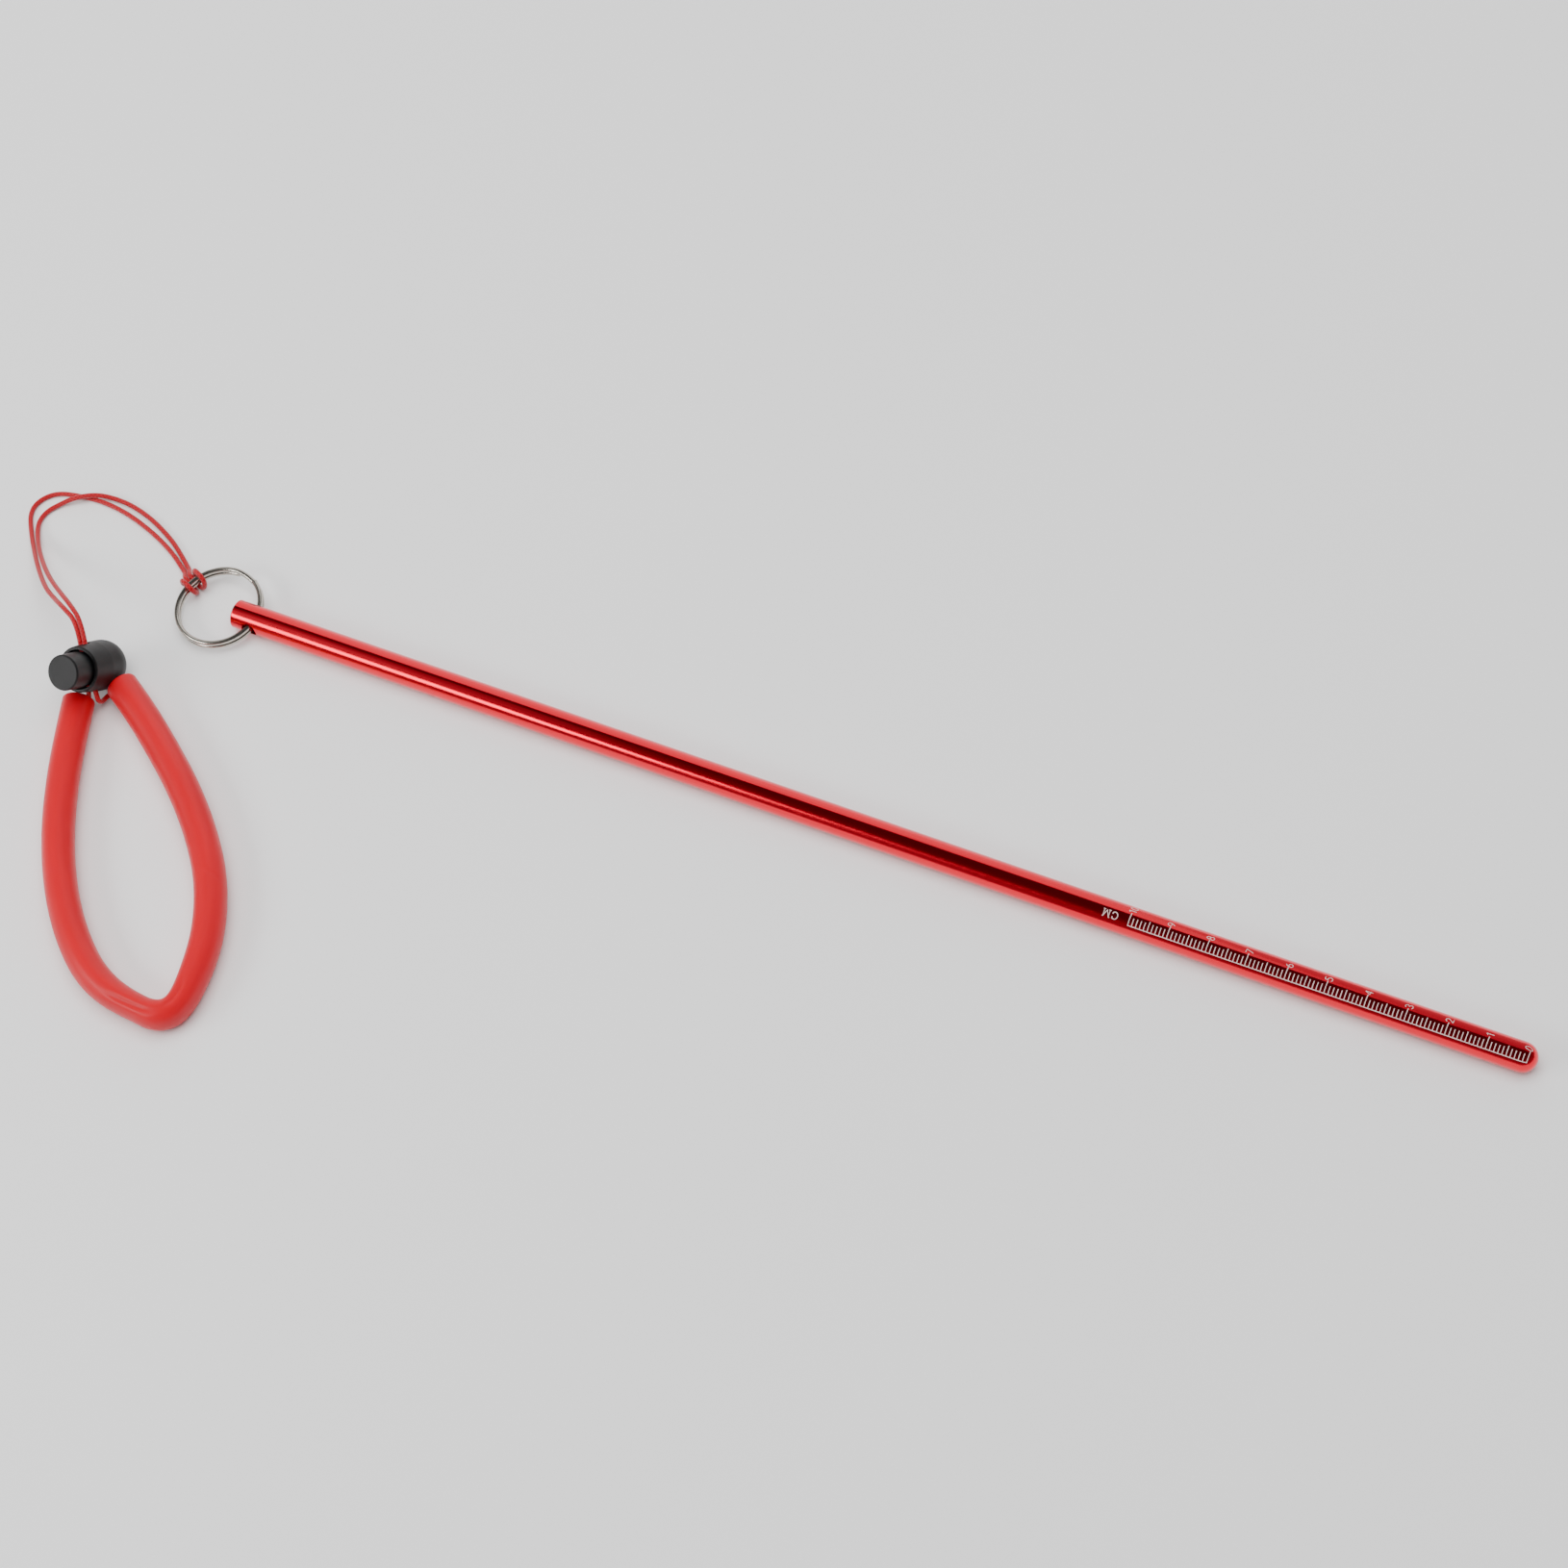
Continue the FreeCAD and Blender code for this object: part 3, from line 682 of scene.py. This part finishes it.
def strips_mesh(name, strips, lift):
    """One mesh of many ribbons, wrapped on the rod.  Each strip is a row of quads."""
    places = []
    faces = []
    count = 0
    for strip in strips:
        rows = len(strip)
        places.append(lay_on_rod(strip, lift).reshape(-1, 3))
        first = count + 2 * np.arange(rows - 1)
        faces.append(np.stack([first, first + 1, first + 3, first + 2], axis=1))
        count += 2 * rows
    mesh = bpy.data.meshes.new(name)
    mesh.from_pydata(np.concatenate(places).tolist(), [], np.concatenate(faces).tolist())
    mesh.update()
    return mesh


def glyph_strips(strokes, corner, right, up, line):
    """The ribbons of a glyph: corner + u * right + v * up, for each point u, v of its strokes.

    corner, right and up are flat places: along the rod, and the arc length round its front.
    """
    strips = []
    for stroke in strokes:
        points = stroke_points(stroke)
        flat = np.array(corner) + points[:, :1] * np.array(right) + points[:, 1:] * np.array(up)
        strips.append(ribbon(flat, line))
    return strips


# ----------------------------------------------------------------------------- settings

def length_property(name, text, value):
    """A length in metres with its default."""
    return bpy.props.FloatProperty(name=name, description=text, default=value, min=0.0,
                                   unit="LENGTH", precision=5)


def angle_property(name, text, degrees):
    """An angle with its default in degrees."""
    return bpy.props.FloatProperty(name=name, description=text, default=math.radians(degrees),
                                   unit="ROTATION")


def colour_property(name, text, code):
    """A colour with its default as an sRGB hex code."""
    return bpy.props.FloatVectorProperty(name=name, description=text, default=linear(code), size=4,
                                         min=0.0, max=1.0, subtype="COLOR")


class ScaleSettings(bpy.types.PropertyGroup):
    zero_from_tip: length_property(
        "Zero from tip", "Distance of the zero mark from the rod's end", 2.0 * MM)
    line_width: length_property("Tick width", "Width of a tick", 0.20 * MM)
    base_angle: angle_property("Base line", "Place of the base line round the rod, from the top", 43.2)
    tick_angle: angle_property("Millimetre ticks", "Where the millimetre ticks end", 11.4)
    half_angle: angle_property("Half ticks", "Where the five millimetre ticks end", 4.0)
    whole_angle: angle_property("Centimetre ticks", "Where the centimetre ticks end", -5.8)
    numeral_height: length_property("Numeral height", "Height of the numerals", 2.0 * MM)
    unit_height: length_property("Unit height", "Height of the letters of the unit", 1.95 * MM)


class CordSettings(bpy.types.PropertyGroup):
    diameter: length_property("Diameter", "Diameter of the braided cord", 1.3 * MM)
    lanyard_length: length_property(
        "Lanyard length", "Cord from the lock to the hitch and back", 274.0 * MM)
    wrist_length: length_property(
        "Wrist length", "Cord through the lock and round inside the sleeve", 250.0 * MM)


class SleeveSettings(bpy.types.PropertyGroup):
    diameter: length_property("Diameter", "Outer diameter of the sleeve", 8.4 * MM)
    bore: length_property("Bore", "Inner diameter of the sleeve", 5.4 * MM)
    cut_length: length_property("Length", "Length that the sleeve was cut to", 211.0 * MM)


class FinishSettings(bpy.types.PropertyGroup):
    rod: colour_property("Rod", "Dye of the anodised rod", "#FC0A30")
    mark: colour_property("Marks", "Etched marks", "#EDD3CF")
    ring: colour_property("Ring", "Nickel plate", "#D2CDC4")
    cord: colour_property("Cord", "Braided cord", "#BE0418")
    sleeve: colour_property("Sleeve", "Vinyl sleeve", "#D60420")
    lock: colour_property("Lock", "Moulded cord lock", "#090809")
    spring: colour_property("Spring", "Spring wire", "#B9B7B4")
    ground: colour_property("Floor", "Studio floor", "#F7F7F7")


class PointerSettings(bpy.types.PropertyGroup):
    scale: bpy.props.PointerProperty(type=ScaleSettings, name="Scale", description="Etched scale")
    cord: bpy.props.PointerProperty(type=CordSettings, name="Cord", description="Braided cord")
    sleeve: bpy.props.PointerProperty(type=SleeveSettings, name="Sleeve", description="Wrist sleeve")
    finish: bpy.props.PointerProperty(type=FinishSettings, name="Finish", description="Colours")


# ----------------------------------------------------------------------------- operators

class OBJECT_OT_pointer_rod(bpy.types.Operator):
    """Gives the rod its dyed, anodised finish"""

    bl_idname = "object.pointer_rod"
    bl_label = "Rod finish"

    def execute(self, context):
        finish = context.scene.dive_pointer.finish
        dress(frame["nodes"]["pointer_rod"], anodised_aluminium(tuple(finish.rod)))
        return {"FINISHED"}


class OBJECT_OT_pointer_scale(bpy.types.Operator):
    """Etches the base line, the ticks, the numerals and the unit on the rod"""

    bl_idname = "object.pointer_scale"
    bl_label = "Etched scale"

    def execute(self, context):
        sizes = context.scene.dive_pointer.scale
        zero = ROD_TIP - sizes.zero_from_tip
        base = sizes.base_angle * ROD_RADIUS
        wide = sizes.line_width
        far = zero - SCALE_LENGTH * MM - wide / 2
        strips = [self.straight((zero + wide / 2, base), (far, base), wide, BASE_SAMPLES)]
        for number in range(SCALE_LENGTH + 1):
            end = sizes.tick_angle
            if number % 10 == 0:
                end = sizes.whole_angle
            elif number % 5 == 0:
                end = sizes.half_angle
            x = zero - number * MM
            strips.append(self.straight((x, base), (x, end * ROD_RADIUS), wide, TICK_SAMPLES))
        # the numerals lie on their side, with their tops towards the butt
        height = sizes.numeral_height
        clear = sizes.whole_angle * ROD_RADIUS - FIGURE_GAP * MM
        right, up = (0.0, -height), (-height, 0.0)
        for number in range(SCALE_LENGTH // 10 + 1):
            middle = zero - number * 10 * MM - (ZERO_SHIFT * MM if number == 0 else 0.0)
            for place, glyph in enumerate(str(number)):
                corner = (middle + height / 2, clear - place * DIGIT_PITCH * height)
                strips += glyph_strips(GLYPHS[glyph], corner, right, up, FIGURE_LINE * MM)
        # the unit's tops point down the rod's front, so it is read from the back
        tall = sizes.unit_height
        low = UNIT_FOOT_ANGLE * ROD_RADIUS
        strips += glyph_strips(UNIT_C, (zero - UNIT_C_PLACE * MM, low),
                               (-UNIT_C_WIDTH * tall, 0.0), (0.0, tall), UNIT_C_LINE * MM)
        strips += glyph_strips(UNIT_M, (zero - UNIT_M_PLACE * MM, low),
                               (-UNIT_M_WIDTH * tall, 0.0), (0.0, tall), UNIT_M_LINE * MM)
        mesh = strips_mesh("rod_scale", strips, MARK_LIFT * MM)
        marks = show("rod_scale", mesh)
        wall = marks.modifiers.new("thickness", "SOLIDIFY")
        wall.thickness = MARK_THICKNESS * MM
        wall.offset = -1.0
        dress(marks, etched_mark(tuple(context.scene.dive_pointer.finish.mark)))
        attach(marks, "rod")
        return {"FINISHED"}

    @staticmethod
    def straight(start, end, width, samples):
        """A straight ribbon between two flat places."""
        share = np.linspace(0.0, 1.0, samples)[:, None]
        return ribbon(np.array(start) * (1 - share) + np.array(end) * share, width)


class OBJECT_OT_pointer_ring(bpy.types.Operator):
    """Gives the split ring its nickel plate"""

    bl_idname = "object.pointer_ring"
    bl_label = "Split ring"

    def execute(self, context):
        finish = context.scene.dive_pointer.finish
        dress(frame["nodes"]["split_ring"], plated_steel(tuple(finish.ring)))
        return {"FINISHED"}


class OBJECT_OT_pointer_cords(bpy.types.Operator):
    """Makes the doubled lanyard with its hitch, and the cord inside the sleeve"""

    bl_idname = "object.pointer_cords"
    bl_label = "Braided cords"

    def execute(self, context):
        sizes = context.scene.dive_pointer.cord
        nylon = braided_nylon(tuple(context.scene.dive_pointer.finish.cord), math.pi * sizes.diameter)
        lanyard = STRAND_A + hitch_points() + STRAND_B[::-1]
        wrist = WRIST_OUT + SLEEVE[3:-2] + WRIST_BACK
        self.cord("lanyard_braid", "lanyard_cord", lanyard, sizes.diameter, sizes.lanyard_length, nylon)
        self.cord("wrist_braid", "wrist_cord", wrist, sizes.diameter, sizes.wrist_length, nylon)
        return {"FINISHED"}

    @staticmethod
    def cord(name, node, route, diameter, length, material):
        """One braided cord along a route, in place of its CAD node."""
        piece, line = braided_tube(name, route, diameter)
        dress(piece, material)
        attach(piece, "lanyard")
        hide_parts(node)


class OBJECT_OT_pointer_sleeve(bpy.types.Operator):
    """Makes the soft tube of the wrist loop, with the flats and creases of its fold"""

    bl_idname = "object.pointer_sleeve"
    bl_label = "Wrist sleeve"

    def execute(self, context):
        sizes = context.scene.dive_pointer.sleeve
        line, distance = route_line(SLEEVE, LINE_SPACING)
        whole = distance[-1]
        outer = sizes.diameter / 2
        inner = sizes.bore / 2
        middle = (outer + inner) / 2
        wall = (outer - inner) / 2
        # one lap of the wall: along the outside, round the cut end, back inside, round the start
        rim = np.linspace(90.0, -90.0, RIM_STEPS + 1)[1:-1]
        lap = np.concatenate([distance, np.full(len(rim), whole), distance[::-1], np.zeros(len(rim))])
        reach = wall * np.cos(np.radians(rim)) * RIM_ROUNDING
        push = np.concatenate([np.zeros(len(distance)), reach, np.zeros(len(distance)), -reach])
        rise = wall * np.sin(np.radians(rim))
        radius = np.concatenate([np.full(len(distance), outer), middle + rise,
                                 np.full(len(distance), inner), middle - rise])
        tangent, side, top = level_frames(line)
        centre = np.stack([np.interp(lap, distance, line[:, axis]) for axis in range(3)], axis=1)
        forward = np.stack([np.interp(lap, distance, tangent[:, axis]) for axis in range(3)], axis=1)
        sideways = np.stack([np.interp(lap, distance, side[:, axis]) for axis in range(3)], axis=1)
        upward = np.tile(top[0], (len(lap), 1))
        angle = np.linspace(0.0, 2 * math.pi, SLEEVE_SIDES + 1)
        ring = angle[:-1][None, :]
        inward, outward, tall = self.kink(lap[:, None])
        creased = radius[:, None] - self.creases(lap[:, None], ring)
        width = np.where(np.cos(ring) > 0, inward, outward)
        reach_side = creased * width * np.cos(ring)
        reach_up = creased * tall * np.sin(ring) + outer * (tall - 1)
        grid = (centre + forward * push[:, None])[:, None, :]
        grid = grid + reach_side[..., None] * sideways[:, None, :]
        grid = grid + reach_up[..., None] * upward[:, None, :]
        lengthwise = np.concatenate([lap, [whole + lap[0]]]) / MM
        along, around = np.meshgrid(lengthwise, angle * outer / MM, indexing="ij")
        piece = surface("wrist_sleeve_tube", grid, np.stack([along, around], axis=-1), rows_close=True)
        dress(piece, soft_vinyl(tuple(context.scene.dive_pointer.finish.sleeve)))
        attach(piece, "lanyard")
        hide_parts("wrist_sleeve")
        return {"FINISHED"}

    @staticmethod
    def kink(lap):
        """Shares of the radius that the section reaches inwards, outwards and up, near the kink.

        Each is one, less or plus shares of a wide and a narrow bell along the tube.
        """
        along = lap / MM
        wide = np.exp(-((along - WIDE_BELL[0]) / WIDE_BELL[1]) ** 2)
        narrow = np.exp(-((along - NARROW_BELL[0]) / NARROW_BELL[1]) ** 2)
        inward = 1 - SIDE_LOSS * wide
        outward = 1 + OUTWARD_GAIN * narrow - SIDE_LOSS * wide
        return inward, outward, 1 + UPWARD_GAIN * wide

    @staticmethod
    def creases(lap, angle):
        """Depth of the creases: bells across a line round the section, times bells along it."""
        along = lap / MM
        turn = np.degrees(angle)
        total = 0.0
        for depth, at_angle, at_place, lean, width, middle, length in LONG_CREASES:
            off = turn - at_angle + lean * (along - at_place)
            total = total + depth * np.exp(-(off / width) ** 2 - ((along - middle) / length) ** 4)
        depth, at_place, at_angle, lean, width, length = CROSS_CREASE
        off = along - at_place + lean * (turn - at_angle)
        total = total + depth * np.exp(-(off / width) ** 2 - ((turn - at_angle) / length) ** 4)
        return total * MM


class OBJECT_OT_pointer_lock(bpy.types.Operator):
    """Gives the cord lock its finish, and a copy of its spring in spring wire in place of the CAD spring
    """

    bl_idname = "object.pointer_lock"
    bl_label = "Cord lock"

    def execute(self, context):
        finish = context.scene.dive_pointer.finish
        plastic = moulded_plastic(tuple(finish.lock))
        dress(frame["nodes"]["lock_barrel"], plastic)
        dress(frame["nodes"]["lock_plunger"], plastic)
        spring = show("lock_spring_coil", frame["nodes"]["lock_spring"].data.copy())
        dress(spring, spring_wire(tuple(finish.spring)))
        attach(spring, "lock")
        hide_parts("lock_spring")
        # the button's press axis is read, and the spring's point deepest along it is found; the spring's
        # shape is left as it is
        joints = frame["record"]["behaviour"]["joints"]
        press = next(joint for joint in joints if joint["name"] == "plunger_press")
        places = np.empty(len(spring.data.vertices) * 3)
        spring.data.vertices.foreach_get("co", places)
        places = places.reshape(-1, 3)
        depth = places @ np.array(press["axis"])
        places[depth.argmax()].tolist()
        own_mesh(spring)
        return {"FINISHED"}


# The soft boxes, in metres: name, place, the point that each faces, width and height, and radiance.
# A long one in front to the left, a wall of light behind with a dimmer one to its right, two dim ones
# overhead to the left, and last a wide fill that shows in no reflection.
SOFT_BOXES = [
    ("front_box", (-0.73, -0.69, 0.58), (-0.10, 0.0, 0.0), (0.74, 0.32), 8.0),
    ("back_wall", (-0.66, 0.75, 0.58), (-0.66, 0.0, 0.58), (1.14, 1.16), 1.15),
    ("back_wall_right", (0.42, 0.75, 0.58), (0.42, 0.0, 0.58), (1.0, 1.16), 0.35),
    ("ceiling_left", (-0.85, -0.16, 0.62), (-0.85, -0.16, 0.0), (1.1, 0.46), 0.28),
    ("ceiling_far_left", (-0.95, -0.25, 0.61), (-0.95, -0.25, 0.0), (1.1, 0.30), 0.30),
]
TOP_FILL = ("top_fill", (0.0, 0.0, 1.7), (0.0, 0.0, 0.0), (1.8, 1.8), 4.0)
FLOOR_HALF = 3.0
# The world's strength at the horizon, and from this height of the sky upwards.
SKY_LOW = 0.32
SKY_HIGH = 0.07
SKY_HEIGHT = 0.8
# The camera: its angle of view across, its place in metres, and its right and up directions.
CAMERA_ANGLE = math.radians(21.423)
CAMERA_NEAR = 0.01
CAMERA_PLACE = (0.31045, -0.43370, 0.87488)
CAMERA_RIGHT = (0.89786, 0.42384, -0.11921)
CAMERA_UP = (-0.30856, 0.79887, 0.51634)


class OBJECT_OT_pointer_stage(bpy.types.Operator):
    """Sets up the floor, the soft boxes and the camera"""

    bl_idname = "object.pointer_stage"
    bl_label = "Studio"

    def execute(self, context):
        self.floor(tuple(context.scene.dive_pointer.finish.ground))
        self.world()
        for box in SOFT_BOXES:
            self.soft_box(*box)
        fill = self.soft_box(*TOP_FILL)
        fill.visible_glossy = False
        self.camera(context.scene)
        return {"FINISHED"}

    @staticmethod
    def floor(colour):
        """A plain pale floor, 6 m square, at the height of the object's lowest point."""
        half = FLOOR_HALF
        corners = [(-half, -half, 0), (half, -half, 0), (half, half, 0), (-half, half, 0)]
        mesh = bpy.data.meshes.new("studio_floor")
        mesh.from_pydata(corners, [], [(0, 1, 2, 3)])
        floor = show("studio_floor", mesh)
        dress(floor, studio_paper(colour))

    @staticmethod
    def world():
        """White light from all round, which fades from the horizon upwards."""
        world = bpy.data.worlds.new("studio")
        world.use_nodes = True
        tree = world.node_tree
        background = tree.nodes["Background"]
        background.inputs["Color"].default_value = (1.0, 1.0, 1.0, 1.0)
        place = add(tree, "ShaderNodeTexCoord")
        height = add(tree, "ShaderNodeSeparateXYZ", {0: place.outputs["Generated"]})
        fade = add(tree, "ShaderNodeMapRange",
                   {"Value": height.outputs["Z"], "From Max": SKY_HEIGHT,
                    "To Min": SKY_LOW, "To Max": SKY_HIGH})
        tree.links.new(fade.outputs[0], background.inputs["Strength"])
        bpy.context.scene.world = world

    @staticmethod
    def soft_box(name, place, aim, size, radiance):
        """A rectangular lamp of the given radiance: its power is pi times area times radiance."""
        data = bpy.data.lights.new(name, "AREA")
        data.shape = "RECTANGLE"
        data.size, data.size_y = size
        data.energy = math.pi * size[0] * size[1] * radiance
        lamp = bpy.data.objects.new(name, data)
        bpy.context.scene.collection.objects.link(lamp)
        turn = (Vector(place) - Vector(aim)).to_track_quat("Z", "Y").to_matrix().to_4x4()
        lamp.matrix_world = Matrix.Translation(place) @ turn
        lamp.visible_camera = False
        return lamp

    @staticmethod
    def camera(scene):
        """A long lens well above the stick, tilted so that the stick slopes down to the right."""
        data = bpy.data.cameras.new("camera")
        data.sensor_fit = "HORIZONTAL"
        data.angle = CAMERA_ANGLE
        data.clip_start = CAMERA_NEAR
        camera = bpy.data.objects.new("camera", data)
        scene.collection.objects.link(camera)
        right = Vector(CAMERA_RIGHT)
        upward = Vector(CAMERA_UP)
        back = right.cross(upward)
        turn = Matrix((right, upward, back)).transposed().to_4x4()
        camera.matrix_world = Matrix.Translation(CAMERA_PLACE) @ turn
        scene.camera = camera


class VIEW3D_PT_dive_pointer(bpy.types.Panel):
    """Sizes, colours and build steps of the dive pointer stick"""

    bl_label = "Dive pointer"
    bl_idname = "VIEW3D_PT_dive_pointer"
    bl_space_type = "VIEW_3D"
    bl_region_type = "UI"
    bl_category = "Dive pointer"

    def draw(self, context):
        settings = context.scene.dive_pointer
        for group in (settings.scale, settings.cord, settings.sleeve, settings.finish):
            box = self.layout.box()
            for name in group.__annotations__:
                box.prop(group, name)
        for operator in BUILD_STEPS:
            self.layout.operator(operator.bl_idname)


BUILD_STEPS = (
    OBJECT_OT_pointer_stage,
    OBJECT_OT_pointer_cords,
    OBJECT_OT_pointer_sleeve,
    OBJECT_OT_pointer_rod,
    OBJECT_OT_pointer_scale,
    OBJECT_OT_pointer_ring,
    OBJECT_OT_pointer_lock,
)
CLASSES = (ScaleSettings, CordSettings, SleeveSettings, FinishSettings, PointerSettings, *BUILD_STEPS,
           VIEW3D_PT_dive_pointer)


def register():
    """Makes Blender know the classes, and gives a scene its settings."""
    for item in CLASSES:
        bpy.utils.register_class(item)
    bpy.types.Scene.dive_pointer = bpy.props.PointerProperty(
        type=PointerSettings, name="Dive pointer",
        description="Sizes and colours of the dive pointer stick")


def unregister():
    """Undoes register."""
    del bpy.types.Scene.dive_pointer
    for item in reversed(CLASSES):
        bpy.utils.unregister_class(item)


def main():
    register()
    bpy.ops.object.pointer_stage()
    bpy.ops.object.pointer_cords()
    bpy.ops.object.pointer_sleeve()
    bpy.ops.object.pointer_rod()
    bpy.ops.object.pointer_scale()
    bpy.ops.object.pointer_ring()
    bpy.ops.object.pointer_lock()


if __name__ == "__main__":
    main()
